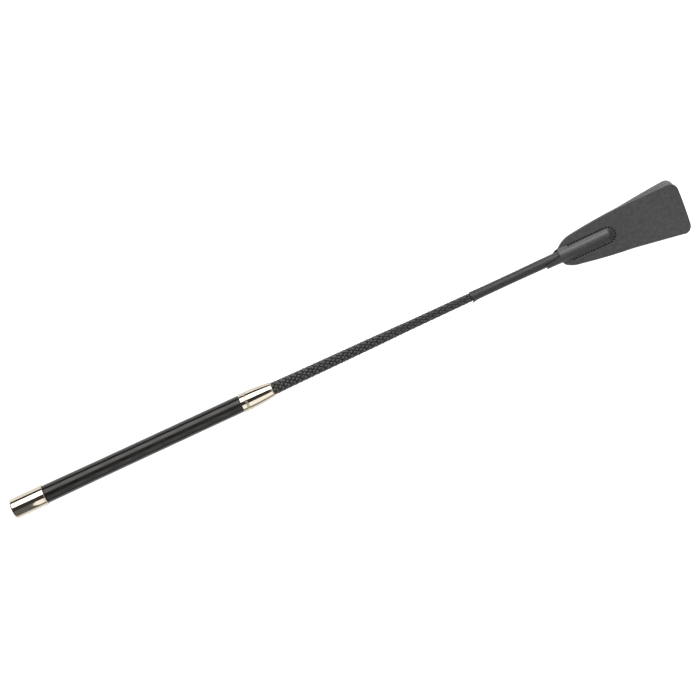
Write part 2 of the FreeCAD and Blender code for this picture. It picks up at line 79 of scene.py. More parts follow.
def box_mm(node):
    """Lowest and highest corner of a CAD node, in millimetres."""
    low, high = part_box(node)
    return np.array(low) / MM, np.array(high) / MM


def surface_tree(node):
    """A search tree of a CAD node's surface, in millimetres."""
    mesh = frame["nodes"][node].data
    points = [vertex.co / MM for vertex in mesh.vertices]
    return BVHTree.FromPolygons(points, [tuple(face.vertices) for face in mesh.polygons])


def outer_radius(node, stations):
    """Outside radius of a turned CAD node at each station along X."""
    tree = surface_tree(node)
    low, high = box_mm(node)
    inside = np.clip(stations, low[0] + 0.01, high[0] - 0.01)
    above = high[2] + 5
    return np.array([tree.ray_cast(Vector((x, 0, above)), Vector((0, 0, -1)))[0].z for x in inside])


def leaf_slope(node):
    """Angle by which a flat leaf rises (or falls) towards its end."""
    widest = max(frame["nodes"][node].data.polygons, key=lambda face: face.area)
    normal = widest.normal * math.copysign(1, widest.normal.z)
    return math.atan2(-normal.x, normal.z)


def joint_point(name):
    """A joint's place, in millimetres."""
    joint = next(joint for joint in frame["joints"] if joint["name"] == name)
    return np.array(joint["pos_m"]) / MM


cap_high = box_mm("butt_cap")[1]
grip_low, grip_high = box_mm("grip_wrap")
collar_low, collar_high = box_mm("collar")
sleeve_low, sleeve_high = box_mm("tip_sleeve")
panel_low, panel_high = box_mm("front_panel")
floor_height = cad_low.z
hinge = joint_point("front_flap_flex")


# ---------------------------------------------------------------- mesh helpers


def smoothstep(value):
    value = np.clip(value, 0, 1)
    return value * value * (3 - 2 * value)


def softened(values, reach):
    """Values on an even spacing, averaged over a number of neighbours, ends kept."""
    kernel = np.hanning(2 * reach + 1)
    kernel /= kernel.sum()
    padded = np.concatenate([
        2 * values[0] - values[reach:0:-1],
        values,
        2 * values[-1] - values[-2:-reach - 2:-1],
    ])
    return np.convolve(padded, kernel, mode="valid")


def grid_faces(rows, columns, wrap=False, first=0):
    """Quads between the points of a grid, whose last column joins its first where it wraps."""
    row, column = np.meshgrid(np.arange(rows - 1), np.arange(columns if wrap else columns - 1), indexing="ij")
    here = row * columns + column
    beside = row * columns + (column + 1) % columns
    quads = np.stack([here, beside, beside + columns, here + columns], axis=-1)
    return (quads.reshape(-1, 4) + first).tolist()


def make_piece(name, points, faces, material, uv=None, edge_angle=40):
    """A smooth-shaded mesh object from points in millimetres, with its normals outward."""
    mesh = bpy.data.meshes.new(name)
    mesh.from_pydata((np.asarray(points, float) * MM).tolist(), [], faces)
    work = bmesh.new()
    work.from_mesh(mesh)
    bmesh.ops.recalc_face_normals(work, faces=work.faces)
    work.to_mesh(mesh)
    work.free()
    mesh.shade_smooth()
    mesh.set_sharp_from_angle(angle=math.radians(edge_angle))
    if uv is not None:
        corners = np.zeros(len(mesh.loops), np.int32)
        mesh.loops.foreach_get("vertex_index", corners)
        layer = mesh.uv_layers.new(name="surface")
        layer.uv.foreach_set("vector", np.asarray(uv, np.float32)[corners].ravel())
    mesh.materials.append(material)
    piece = bpy.data.objects.new(name, mesh)
    bpy.context.scene.collection.objects.link(piece)
    return piece


def settle(piece, body, slot, *nodes):
    """Give a finished piece its body and hide the CAD nodes it stands for; the slot argument is not used."""
    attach(piece, body)
    if nodes:
        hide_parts(*nodes)
    return piece


def arc(centre, radius, start, end, steps=8):
    """Points (x, radius) on an arc of a profile, angles in degrees."""
    angles = np.radians(np.linspace(start, end, steps))
    return [(centre[0] + radius * math.cos(a), centre[1] + radius * math.sin(a)) for a in angles]


def bulging(start, end, rise, steps=24):
    """Points on a shallow arc from start to end that stands out by rise in its middle."""
    start, end = np.array(start), np.array(end)
    along = np.linspace(0, 1, steps)[:, None]
    outward = np.array([-(end - start)[1], (end - start)[0]]) / np.linalg.norm(end - start)
    return [tuple(p) for p in start + (end - start) * along + outward * rise * 4 * along * (1 - along)]


def lathe(profile, sides=128):
    """Points and faces of a solid turned about X. The profile goes from axis to axis, or round in a loop."""
    angles = np.linspace(0, 2 * math.pi, sides, endpoint=False)
    points, starts = [], []
    for x, radius in profile:
        starts.append(len(points))
        if radius == 0:
            points.append((x, 0, 0))
        else:
            points.extend((x, radius * math.sin(a), radius * math.cos(a)) for a in angles)
    faces = []
    closed = profile[0][1] != 0
    for index in range(len(profile) if closed else len(profile) - 1):
        following = (index + 1) % len(profile)
        for side in range(sides):
            beside = (side + 1) % sides
            here = [starts[index] + (0 if profile[index][1] == 0 else k) for k in (side, beside)]
            there = [starts[following] + (0 if profile[following][1] == 0 else k) for k in (beside, side)]
            corners = here + there
            faces.append([c for k, c in enumerate(corners) if c not in corners[:k]])
    return points, faces


# ---------------------------------------------------------------- materials


def principled(material):
    return material.node_tree.nodes["Principled BSDF"]


def new_material(name, colour, roughness, metallic=0.0, specular=0.5):
    """A material of one colour and finish."""
    material = bpy.data.materials.new(name)
    material.use_nodes = True
    shader = principled(material)
    shader.inputs["Base Color"].default_value = (*colour, 1)
    shader.inputs["Roughness"].default_value = roughness
    shader.inputs["Metallic"].default_value = metallic
    shader.inputs["Specular IOR Level"].default_value = specular
    return material


def glowing(name, colour, roughness, strength):
    """A material of one colour that gives off white light."""
    material = new_material(name, colour, roughness)
    principled(material).inputs["Emission Color"].default_value = (1, 1, 1, 1)
    principled(material).inputs["Emission Strength"].default_value = strength
    return material


def node_of(material, kind, **settings):
    """Add a node and set its properties and its inputs."""
    node = material.node_tree.nodes.new(kind)
    for name, value in settings.items():
        if hasattr(node, name):
            setattr(node, name, value)
        else:
            node.inputs[name.replace("_", " ")].default_value = value
    return node


def join(material, source, output, target, entry):
    material.node_tree.links.new(source.outputs[output], target.inputs[entry])


def coordinates(material, kind, scale):
    """Surface coordinates ("Object" in metres, or "UV"), stretched by a scale per axis."""
    source = node_of(material, "ShaderNodeTexCoord")
    mapping = node_of(material, "ShaderNodeMapping")
    mapping.inputs["Scale"].default_value = scale
    join(material, source, kind, mapping, "Vector")
    return mapping


def noise(material, where, scale, detail=4.0, roughness=0.55):
    """A noise texture at some coordinates."""
    texture = node_of(material, "ShaderNodeTexNoise")
    texture.inputs["Scale"].default_value = scale
    texture.inputs["Detail"].default_value = detail
    texture.inputs["Roughness"].default_value = roughness
    join(material, where, "Vector", texture, "Vector")
    return texture


def ranged(material, source, output, low, high, from_low=0.3, from_high=0.7):
    """A texture's value carried into a range."""
    span = node_of(material, "ShaderNodeMapRange")
    span.inputs["From Min"].default_value = from_low
    span.inputs["From Max"].default_value = from_high
    span.inputs["To Min"].default_value = low
    span.inputs["To Max"].default_value = high
    join(material, source, output, span, "Value")
    return span


def colour_ramp(material, source, output, dark, light, low=0.3, high=0.7):
    """A colour that goes from dark to light with a texture's value."""
    ramp = node_of(material, "ShaderNodeValToRGB")
    ramp.color_ramp.elements[0].position = low
    ramp.color_ramp.elements[0].color = (*dark, 1)
    ramp.color_ramp.elements[1].position = high
    ramp.color_ramp.elements[1].color = (*light, 1)
    join(material, source, output, ramp, "Fac")
    return ramp


def coloured(material, source, dark, light):
    """Base colour that goes from dark to light with a noise texture."""
    ramp = colour_ramp(material, source, "Fac", dark, light)
    join(material, ramp, "Color", principled(material), "Base Color")


def rough(material, source, low, high):
    """Roughness that varies with a noise texture."""
    span = ranged(material, source, "Fac", low, high)
    join(material, span, "Result", principled(material), "Roughness")


def bumps(material, layers):
    """Bump from several textures: each layer is (node, output, height in mm, strength)."""
    previous = None
    for source, output, height, strength in layers:
        bump = node_of(material, "ShaderNodeBump")
        bump.inputs["Distance"].default_value = height * MM
        bump.inputs["Strength"].default_value = strength
        join(material, source, output, bump, "Height")
        if previous is not None:
            join(material, previous, "Normal", bump, "Normal")
        previous = bump
    join(material, previous, "Normal", principled(material), "Normal")


def mixed(material, value_name, first, second):
    """A colour that goes from the first to the second with a named value of the mesh."""
    value = node_of(material, "ShaderNodeAttribute", attribute_name=value_name)
    mix = node_of(material, "ShaderNodeMix", data_type="RGBA")
    join(material, value, "Fac", mix, "Factor")
    colours = [entry for entry in mix.inputs if entry.type == "RGBA"]
    for source, entry in ((first, colours[0]), (second, colours[1])):
        material.node_tree.links.new(colour_of(source), entry)
    return mix


def colour_of(node):
    """The colour that a node gives."""
    return next(output for output in node.outputs if output.type == "RGBA")


def nickel():
    """Warm mirror nickel with faint handling smears and a few fine scratches."""
    material = new_material("nickel_plate", (0.43, 0.39, 0.32), 0.05, metallic=1.0)
    where = coordinates(material, "Object", (1, 1, 1))
    smears = noise(material, where, 90, 3)
    coloured(material, smears, (0.41, 0.37, 0.305), (0.46, 0.42, 0.35))
    rough(material, smears, 0.02, 0.07)
    around = coordinates(material, "Object", (2600, 160, 160))
    scratches = noise(material, around, 1, 2)
    dents = noise(material, where, 420, 1)
    bumps(material, [(scratches, "Fac", 0.004, 0.35), (dents, "Fac", 0.01, 0.2)])
    return material


def grip_cover():
    """Black satin winding with fine threads that run round the grip."""
    material = new_material("grip_cover", (0.008, 0.007, 0.006), 0.3, specular=0.33)
    where = coordinates(material, "Object", (1, 1, 1))
    patches = noise(material, where, 130, 5)
    coloured(material, patches, (0.0012, 0.001, 0.0008), (0.0036, 0.003, 0.0025))
    rough(material, patches, 0.12, 0.2)
    around = coordinates(material, "Object", (5200, 420, 420))
    threads = noise(material, around, 1, 3)
    bumps(material, [(threads, "Fac", 0.06, 0.8), (noise(material, where, 900, 3), "Fac", 0.03, 0.3)])
    return material


def braid_strand():
    """Shiny black waxed strand: a flat bundle of parallel threads."""
    material = new_material("braid_strand", (0.006, 0.006, 0.006), 0.3, specular=0.6)
    along = coordinates(material, "UV", (1, 1, 1))
    wave = node_of(material, "ShaderNodeTexWave", wave_type="BANDS", bands_direction="X")
    wave.inputs["Scale"].default_value = 4.0
    wave.inputs["Distortion"].default_value = 1.2
    wave.inputs["Detail"].default_value = 2.0
    join(material, along, "Vector", wave, "Vector")
    patches = noise(material, coordinates(material, "Object", (1, 1, 1)), 260, 4)
    coloured(material, patches, (0.002, 0.002, 0.002), (0.006, 0.0057, 0.0055))
    rough(material, patches, 0.08, 0.18)
    bumps(material, [(wave, "Fac", 0.05, 0.6)])
    return material


def sleeve_wrap():
    """Black wrap with a fine crosswise grain."""
    material = new_material("sleeve_wrap", (0.008, 0.008, 0.0078), 0.42, specular=0.36)
    where = coordinates(material, "UV", (1, 1, 1))
    patches = noise(material, where, 0.5, 5)
    coloured(material, patches, (0.001, 0.001, 0.001), (0.018, 0.0175, 0.017))
    rough(material, patches, 0.3, 0.5)
    weft = coordinates(material, "UV", (0.6, 0.25, 1))
    warp = coordinates(material, "UV", (0.25, 0.9, 1))
    bumps(material, [
        (noise(material, weft, 1, 4), "Fac", 0.5, 1.0),
        (noise(material, warp, 1, 4), "Fac", 0.3, 0.9),
    ])
    return material


def flap_leather():
    """Satin charcoal leather: pebbled grain, black edges, painted shade and matt roughness at the stitches, darker
    towards the neck, paler flesh side.
    """
    material = new_material("flap_leather", (0.06, 0.06, 0.062), 0.5)
    where = coordinates(material, "UV", (1, 1, 1))
    cloud = noise(material, where, 0.3, 6, 0.75)
    fibres = noise(material, where, 1.4, 6)
    grain_side = colour_ramp(material, cloud, "Fac", (0.006, 0.006, 0.0065), (0.032, 0.032, 0.0325))
    flesh_side = colour_ramp(material, fibres, "Fac", (0.06, 0.06, 0.06), (0.19, 0.19, 0.185), 0.35, 0.65)
    face = mixed(material, "flesh_side", grain_side, flesh_side)
    # One near-black colour serves three masks: the real painted edges, painted shade round the stitches and the
    # darker neck.
    paint_and_shade_colour = node_of(material, "ShaderNodeRGB")
    paint_and_shade_colour.outputs["Color"].default_value = (0.010, 0.010, 0.010, 1)
    whole = mixed(material, "edge_paint_stitch_shade_dark_neck", face, paint_and_shade_colour)
    material.node_tree.links.new(colour_of(whole), principled(material).inputs["Base Color"])
    satin = ranged(material, cloud, "Fac", 0.34, 0.44)
    # The stitch mask that carries the painted shade also raises the roughness there.
    stitch_shade_and_matt = node_of(material, "ShaderNodeAttribute", attribute_name="waxed_seam")
    roughness = node_of(material, "ShaderNodeMath", operation="MAXIMUM")
    material.node_tree.links.new(satin.outputs["Result"], roughness.inputs[0])
    material.node_tree.links.new(stitch_shade_and_matt.outputs["Fac"], roughness.inputs[1])
    join(material, roughness, "Value", principled(material), "Roughness")
    pores = node_of(material, "ShaderNodeTexVoronoi", feature="DISTANCE_TO_EDGE")
    pores.inputs["Scale"].default_value = 1.9
    join(material, where, "Vector", pores, "Vector")
    bumps(material, [
        (pores, "Distance", 0.05, 0.35),
        (noise(material, where, 0.35, 5), "Fac", 0.12, 0.35),
    ])
    return material


def sewing_thread():
    """Black waxed thread with its twist."""
    material = new_material("sewing_thread", (0.004, 0.004, 0.004), 0.7, specular=0.15)
    twist = noise(material, coordinates(material, "Object", (1, 1, 1)), 4200, 2)
    coloured(material, twist, (0.002, 0.002, 0.002), (0.007, 0.007, 0.007))
    bumps(material, [(twist, "Fac", 0.05, 0.6)])
    return material


def plain_inner(name, dark, light, roughness, scale):
    """Finish of a piece that is out of sight inside the crop."""
    material = new_material(name, light, roughness)
    patches = noise(material, coordinates(material, "Object", (1, 1, 1)), scale, 4)
    coloured(material, patches, dark, light)
    bumps(material, [(patches, "Fac", 0.1, 0.4)])
    return material


NICKEL = nickel()
GRIP = grip_cover()
STRAND = braid_strand()
SLEEVE = sleeve_wrap()
LEATHER = flap_leather()
THREAD = sewing_thread()


# ---------------------------------------------------------------- cap, grip and collar


def make_butt_cap():
    """Nickel cup: flat disc, shallow dome, rounded corner, straight side and a slightly proud rolled rim."""
    radius, length = cap_high[2], cap_high[0]
    disc, dome_rise, corner, wall = 3.5, 0.7, 1.8, 1.1
    rim, side = 0.5, radius - 0.07
    profile = [
        (0, 0),
        *bulging((0, disc), (dome_rise, radius - corner), 0.1, 8),
        *arc((dome_rise + corner, side - corner), corner, 170, 90, 10),
        (length - 3 * rim, side),
        *arc((length - 2 * rim, radius - rim), rim, 110, 90, 4),
        *arc((length - rim, radius - rim), rim, 90, 0, 8),
        (length, radius - wall),
        (wall + dome_rise, radius - wall),
        (wall + dome_rise, 0),
    ]
    points, faces = lathe(profile)
    settle(make_piece("butt_cap_shell", points, faces, NICKEL, edge_angle=50), STICK, "nickel", "butt_cap")


def make_grip():
    """Grip cover whose fine ridges wind round it in one long helix."""
    sides, pitch, depth, samples = 96, 1.35, 0.25, 8
    proud, wall, end_wear, worn_length = 0.18, 1.2, 0.35, 1.2
    long_wave, short_wave, height_wave = 17.0, 5.3, 3.7
    start, end = grip_low[0], grip_high[0]
    rows = int((end - start) / pitch * samples)
    stations = np.linspace(start, end, rows)
    radius = softened(outer_radius("grip_wrap", stations), 40)
    angles = np.linspace(0, 2 * math.pi, sides, endpoint=False)
    x, angle = np.meshgrid(stations, angles, indexing="ij")
    drift = 0.22 * np.sin(x / long_wave) + 0.15 * np.sin(x / short_wave + 2 * np.sin(angle))
    turn = x / pitch + angle / (2 * math.pi) + drift
    ridge = np.abs(np.sin(math.pi * turn)) ** 0.75
    height = depth * (0.8 + 0.2 * np.sin(x / height_wave + angle * 2))
    edge = smoothstep(np.minimum(x - start, end - x) / worn_length)
    surface = radius[:, None] + proud - height * (1 - ridge) - end_wear * (1 - edge)
    outside = np.stack([x, surface * np.sin(angle), surface * np.cos(angle)], axis=-1)
    inner = radius[[-1, 0]] - wall
    inside = np.stack([
        np.stack([np.full(sides, place), r * np.sin(angles), r * np.cos(angles)], axis=-1)
        for place, r in zip((end, start), inner)
    ])
    points = np.concatenate([outside, inside]).reshape(-1, 3)
    faces = grid_faces(rows + 2, sides, wrap=True)
    last = (rows + 1) * sides
    faces += [[last + k, last + (k + 1) % sides, (k + 1) % sides, k] for k in range(sides)]
    settle(make_piece("grip_winding", points, faces, GRIP, edge_angle=70), STICK, "grip_cover", "grip_wrap")


def make_collar():
    """Nickel ferrule: plain band, groove, bead, long bulging taper and a rolled lip."""
    start, end = collar_low[0], collar_high[0]
    band_radius, lip_radius = outer_radius("collar", np.array([start + 2, end - 1.1]))
    throat = outer_radius("braid_cover", np.array([end]))[0]
    band, groove, bead, lip, seat = 3.9, 1.0, 1.3, 1.1, 16.0
    round_over, belly_rise, wall = 0.3, 0.36, 1.0
    bead_start = start + band + groove
    belly_start = bead_start + bead
    profile = [
        (start, band_radius - wall),
        *arc((start + round_over, band_radius - round_over), round_over, 180, 90, 5),
        *arc((start + band + groove / 2, band_radius), groove / 2, 180, 350, 11),
        *arc((bead_start + bead / 2, band_radius - 0.45), bead / 2, 150, 30, 11),
        (belly_start + 0.05, band_radius - 0.25),
        *bulging((belly_start + 0.3, band_radius), (end - lip, lip_radius), belly_rise),
        (end - lip + 0.08, lip_radius - 0.15),
        *arc((end - lip / 2 + 0.05, lip_radius - 0.5), lip / 2 - 0.05, 140, 0, 9),
        (end, throat + 0.02),
        (end - 1.8, throat + 0.02),
        (start + seat, band_radius - wall),
    ]
    points, faces = lathe(profile)
    settle(make_piece("collar_ferrule", points, faces, NICKEL, edge_angle=35), STICK, "nickel", "collar")


# ---------------------------------------------------------------- braid

STRANDS_EACH_WAY = 8


def braid_turn(stations):
    """Angle through which a strand has wound at each station: two crossings per pick."""
    first_pick, last_pick = 5.35, 6.3
    pick = np.interp(stations, [stations[0], stations[-1]], [first_pick, last_pick])
    steps = np.diff(stations, prepend=stations[0])
    return np.cumsum(2 * math.pi / (STRANDS_EACH_WAY * pick) * steps)


def make_strands(name, sense):
    """Half of the braid: the strands that wind one way, over and under those that wind the other way."""
    ring, step, hidden_end = 12, 0.45, 4
    thickness, waves, fill, proud = 1.7, 0.72, 0.96, 0.2
    stations = np.arange(collar_high[0] - hidden_end, sleeve_low[0] + hidden_end, step)
    outer = softened(outer_radius("braid_cover", stations), 20) + proud
    turn = braid_turn(stations)
    slope = np.gradient(turn, stations) * outer
    lean = np.arctan(slope)
    middle = outer - thickness / 2 - waves
    width = 2 * math.pi * middle * np.cos(lean) / STRANDS_EACH_WAY * fill
    section = np.linspace(0, 2 * math.pi, ring, endpoint=False)
    across, upward = np.cos(section), np.sin(section)
    points, faces, uv = [], [], []
    for strand in range(STRANDS_EACH_WAY):
        centre = 2 * math.pi * strand / STRANDS_EACH_WAY + sense * turn
        offset = across[None, :] * width[:, None] / 2
        x = stations[:, None] - sense * offset * np.sin(lean)[:, None]
        angle = centre[:, None] + offset * np.cos(lean)[:, None] / middle[:, None]
        wound = np.interp(x, stations, turn)
        other = angle + sense * wound
        phase = STRANDS_EACH_WAY * other / 2 + math.pi * strand
        lift = waves * np.cos(phase) * (1 if sense > 0 else -1)
        radius = middle[:, None] + lift + upward[None, :] * thickness / 2
        first = len(points) * len(stations) * ring
        points.append(np.stack([x, radius * np.sin(angle), radius * np.cos(angle)], axis=-1))
        faces += grid_faces(len(stations), ring, wrap=True, first=first)
        faces.append([first + k for k in range(ring)])
        last = first + (len(stations) - 1) * ring
        faces.append([last + k for k in reversed(range(ring))])
        length = stations[:, None] / 3 + 0 * offset
        uv.append(np.stack([across[None, :] * 0.5 + 0 * length, length], axis=-1))
    points = np.concatenate([p.reshape(-1, 3) for p in points])
    uv = np.concatenate([u.reshape(-1, 2) for u in uv])
    return make_piece(name, points, faces, STRAND, uv=uv, edge_angle=80)


def make_braid():
    settle(make_strands("braid_strands_right", 1), STICK, "braid", "braid_cover")
    settle(make_strands("braid_strands_left", -1), STICK, "braid")


# ---------------------------------------------------------------- tip sleeve


def make_sleeve():
    """Wrap of thin leather, one turn and a lap, its outer corner lifting a little where it starts."""
    start, end = sleeve_low[0], sleeve_high[0]
    rows, columns, thickness, proud = 190, 110, 0.5, 0.15
    lap, seam = math.radians(38), math.radians(-100)
    lap_step, corner_lift, corner_turn, corner_length, edge_round = 0.32, 0.75, 0.9, 4.5, 0.25
    mean_radius = 4.4
    whole_turn = 2 * math.pi + lap
    stations = np.linspace(start, end, rows)
    outer = softened(outer_radius("tip_sleeve", stations), 8) + proud
    turn = np.linspace(0, whole_turn, columns)
    x, along = np.meshgrid(stations, turn, indexing="ij")
    spiral = along / whole_turn
    radius = outer[:, None] - lap_step * (1 - spiral) - thickness / 2
    near_start = smoothstep(1 - (x - start) / corner_length)
    near_corner = smoothstep((along - (whole_turn - corner_turn)) / corner_turn)
    radius = radius + corner_lift * near_start * near_corner
    x = x + 0.7 * np.sin(along * 1.3 + 0.6) * near_start - 0.8 * near_start * near_corner
    edge = np.minimum(along, whole_turn - along) * mean_radius
    body = np.sqrt(np.clip(1 - (1 - np.clip(edge / edge_round, 0, 1)) ** 2, 0.05, 1)) * thickness / 2
    angle = seam + along
    layers = []
    for side in (1, -1):
        r = radius + side * body
        layers.append(np.stack([x, r * np.sin(angle), r * np.cos(angle)], axis=-1).reshape(-1, 3))
    points, faces = shell(layers, rows, columns)
    uv = np.stack([x.ravel(), (along * mean_radius).ravel()], axis=-1)
    piece = make_piece("tip_sleeve_wrap", points, faces, SLEEVE, uv=np.concatenate([uv, uv]), edge_angle=50)
    settle(piece, STICK, "sleeve_wrap", "tip_sleeve")


def shell(layers, rows, columns):
    """Two grids of points, one above the other, closed round their border."""
    count = rows * columns
    top = grid_faces(rows, columns)
    bottom = grid_faces(rows, columns, first=count)
    border = [k for k in range(columns)]
    border += [row * columns + columns - 1 for row in range(1, rows)]
    border += [(rows - 1) * columns + k for k in range(columns - 2, -1, -1)]
    border += [row * columns for row in range(rows - 2, 0, -1)]
    rim = [
        [here, there, there + count, here + count]
        for here, there in zip(border, border[1:] + border[:1])
    ]
    return np.concatenate(layers), top + [face[::-1] for face in bottom] + rim


make_butt_cap()
make_grip()
make_collar()
make_braid()
make_sleeve()


# ---------------------------------------------------------------- flapper

SEAM_OFFSET, SEAM_MIDDLE, SEAM_START, SEAM_END = 7.0, -0.95, 541.0, 584.0
STITCH_PITCH, STITCH_LENGTH, THREAD_RADIUS = 2.8, 1.9, 0.64
SEAM_LENGTH = 2 * (SEAM_END - SEAM_OFFSET - SEAM_START) + math.pi * SEAM_OFFSET
STITCH_COUNT = int(SEAM_LENGTH / STITCH_PITCH) + 1
FIRST_STITCH = (SEAM_LENGTH - STITCH_PITCH * (STITCH_COUNT - 1)) / 2
NECK_START, NECK_SLANT, WING_START = panel_low[0], 14.0, 531.0
NOSE_START = 577.1
END_CORNER = 8.0
BEND_START, BEND_SPREAD = 584.0, 20.0


def leather_thickness(station):
    """The leather is pared thin where it covers the sleeve."""
    pared, gain, pared_end, full_after = 1.05, 0.5, 522, 22
    return pared + gain * smoothstep((station - pared_end) / full_after)


def pocket_radius(station):
    """Distance of the leather's middle from the crop's axis, over the neck and the pocket."""
    tree = surface_tree("front_panel")
    known = np.linspace(524, NOSE_START, 60)
    outside = [tree.ray_cast(Vector((x, 0, 20)), Vector((0, 0, -1)))[0].z for x in known]
    return np.interp(station, known, softened(np.array(outside), 6)) - leather_thickness(station) / 2


def edge_along(tree, stations, heights, side):
    """Where a flat piece's edge lies at each station, on its +Y (1) or -Y (-1) side."""
    start = 60 * side
    hits = [tree.ray_cast(Vector((x, start, z)), Vector((0, -side, 0)))[0] for x, z in zip(stations, heights)]
    return np.array([hit.y for hit in hits])


def flapper_outline():
    """Flat outline of a leather: stations with the -Y and the +Y edge at each, and a curve for its end."""
    panel, leaf = surface_tree("front_panel"), surface_tree("front_leaf")
    slope = leaf_slope("front_leaf")
    neck = np.linspace(NECK_START, WING_START, 12)
    wing = np.linspace(WING_START + 2.2, panel_high[0] - 0.2, 60)
    reach = (box_mm("front_leaf")[1][0] - hinge[0]) / math.cos(slope)
    free = np.linspace(2, reach - END_CORNER - 2, 40)
    stations = np.concatenate([neck, wing, hinge[0] + free, [hinge[0] + reach + 2]])
    edges = []
    for side in (-1, 1):
        neck_edge = side * 0.985 * pocket_radius(neck)
        wing_edge = edge_along(panel, wing, np.full(len(wing), 0.8), side)
        along, up = free * math.cos(slope), free * math.sin(slope)
        leaf_edge = edge_along(leaf, hinge[0] + along, hinge[2] + up, side)
        gradient = (leaf_edge[-1] - leaf_edge[0]) / (free[-1] - free[0])
        last = leaf_edge[-1] + gradient * (reach + 2 - free[-1])
        edges.append(np.concatenate([neck_edge, wing_edge, leaf_edge, [last]]))
    across = np.linspace(-0.55, 0.55, 9) * edges[1][-1]
    forward = Vector((-math.cos(slope), 0, -math.sin(slope)))
    ends = []
    for y in across:
        origin = Vector((hinge[0], y, hinge[2])) - forward * (reach + 20)
        hit = leaf.ray_cast(origin, forward)[0]
        ends.append(hinge[0] + (hit.x - hinge[0]) / math.cos(slope))
    return stations, edges[0], edges[1], np.polyfit(across, ends, 2)


OUTLINE = flapper_outline()


def sheet_grid(side):
    """Flat grid of one leather: station, sideways place and distance from the nearest edge."""
    stations, lower, upper, end_curve = OUTLINE
    near_edge = np.array([0, 0.06, 0.14, 0.26, 0.45, 0.7])
    end = np.polyval(end_curve, 0)
    rows = np.concatenate([
        NECK_START + near_edge,
        np.arange(NECK_START + 1.1, BEND_START + 6, 0.5),
        np.arange(BEND_START + 6.8, end - 1.5, 1.3),
        end - near_edge[::-1],
    ])
    tightness = math.radians(81)
    columns = np.sin(np.linspace(-1, 1, 121) * tightness) / math.sin(tightness)
    station, across = np.meshgrid(rows, columns, indexing="ij")
    to_start = station - NECK_START
    to_end = end - station
    slant = smoothstep((across + 0.35) / 0.5) if side > 0 else smoothstep((across + 1.15) / 2.6)
    x = station + NECK_SLANT * slant * (1 - smoothstep(to_start / 24))
    low, high = np.interp(x, stations, lower), np.interp(x, stations, upper)
    middle, half = (low + high) / 2, (high - low) / 2
    y = middle + half * across
    to_side = half * (1 - np.abs(across))
    over_end, over_side = 1 - to_end / END_CORNER, 1 - to_side / END_CORNER
    in_corner = (over_end > 0) & (over_side > 0)
    a, b = np.clip(over_end, 0, 1), np.clip(over_side, 0, 1)
    x = np.where(in_corner, x + END_CORNER * a * (np.sqrt(1 - b * b / 2) - 1), x)
    y = np.where(in_corner, y + END_CORNER * b * (np.sqrt(1 - a * a / 2) - 1) * np.sign(across), y)
    x = x + (np.polyval(end_curve, y) - end) * smoothstep(1 - to_end / 14)
    to_edge = np.minimum(np.minimum(to_side, to_end), to_start)
    return x, y, to_edge


def seam_place(x, y):
    """Distance from the U-shaped seam, and how far along it the nearest point lies."""
    centre = SEAM_END - SEAM_OFFSET
    straight = centre - SEAM_START
    beyond, aside = np.maximum(x - centre, 0), y - SEAM_MIDDLE
    radius = np.hypot(aside, beyond)
    turn = np.arctan2(beyond, np.abs(aside))
    short = np.maximum(SEAM_START - x, 0)
    distance = np.hypot(radius - SEAM_OFFSET, short)
    half = straight + SEAM_OFFSET * math.pi / 2
    travel = np.minimum(x, centre) - SEAM_START + SEAM_OFFSET * turn
    return distance, np.where(aside > 0, travel, 2 * half - travel)


def seam_point(travel):
    """The point at a distance along the seam."""
    centre = SEAM_END - SEAM_OFFSET
    straight = centre - SEAM_START
    bend = math.pi * SEAM_OFFSET
    turn = np.clip((travel - straight) / SEAM_OFFSET, 0, math.pi)
    back = np.maximum(travel - straight - bend, 0)
    ahead = np.minimum(travel, straight)
    return SEAM_START + ahead - back + SEAM_OFFSET * np.sin(turn), SEAM_MIDDLE + SEAM_OFFSET * np.cos(turn)


def crown(x, y):
    """Height of the leather's middle: arched over the rod, flat in the wings, with a fillet between."""
    radius = pocket_radius(x)
    distance = np.hypot(y, np.maximum(x - NOSE_START, 0))
    steep_share, wider_above, fillet = 0.72, 0.09, 0.9
    steep = (steep_share + wider_above * y / np.maximum(distance, 0.01)) * radius
    steep_height = np.sqrt(radius**2 - steep**2)
    arch = np.sqrt(np.maximum(radius**2 - distance**2, 0.01))
    arch = np.where(distance < steep, arch, steep_height - steep / steep_height * (distance - steep))
    level = leather_thickness(x) / 2 + 0.05
    return 0.5 * (arch + level + np.sqrt((arch - level) ** 2 + fillet**2))


def under_stitch(x, y, reach):
    """1 under the middle of a stitch, falling to 0 between stitches and at some distance from the seam."""
    distance, travel = seam_place(x, y)
    along = 0.5 + 0.5 * np.cos(2 * math.pi * (travel - FIRST_STITCH) / STITCH_PITCH)
    return along**1.5 * np.exp(-((distance / reach) ** 2))


def seam_groove(x, y):
    """Depth to which the thread draws the leather down: a shallow groove with a dimple under each stitch."""
    line, line_reach, dimple, dimple_reach = 0.1, 0.8, 0.55, 0.9
    distance = seam_place(x, y)[0]
    return line * np.exp(-((distance / line_reach) ** 2)) + dimple * under_stitch(x, y, dimple_reach)


def bend(stations, rise, relax):
    """Angle of a leaf at each station, so that it rises by a given amount at its end."""
    relaxing_length = 46
    fine = np.linspace(BEND_START, OUTLINE[0][-1], 400)
    shape = smoothstep((fine - BEND_START) / BEND_SPREAD)
    shape = shape * (1 - relax * np.clip((fine - BEND_START - BEND_SPREAD) / relaxing_length, 0, 1))
    step = fine[1] - fine[0]
    angle = shape * rise / (shape.sum() * step)
    along = BEND_START + np.cumsum(np.cos(angle)) * step - step
    up = np.cumsum(np.sin(angle)) * step
    flat = stations < BEND_START
    return (
        np.interp(stations, fine, angle),
        np.where(flat, stations, np.interp(stations, fine, along)),
        np.where(flat, 0, np.interp(stations, fine, up)),
    )


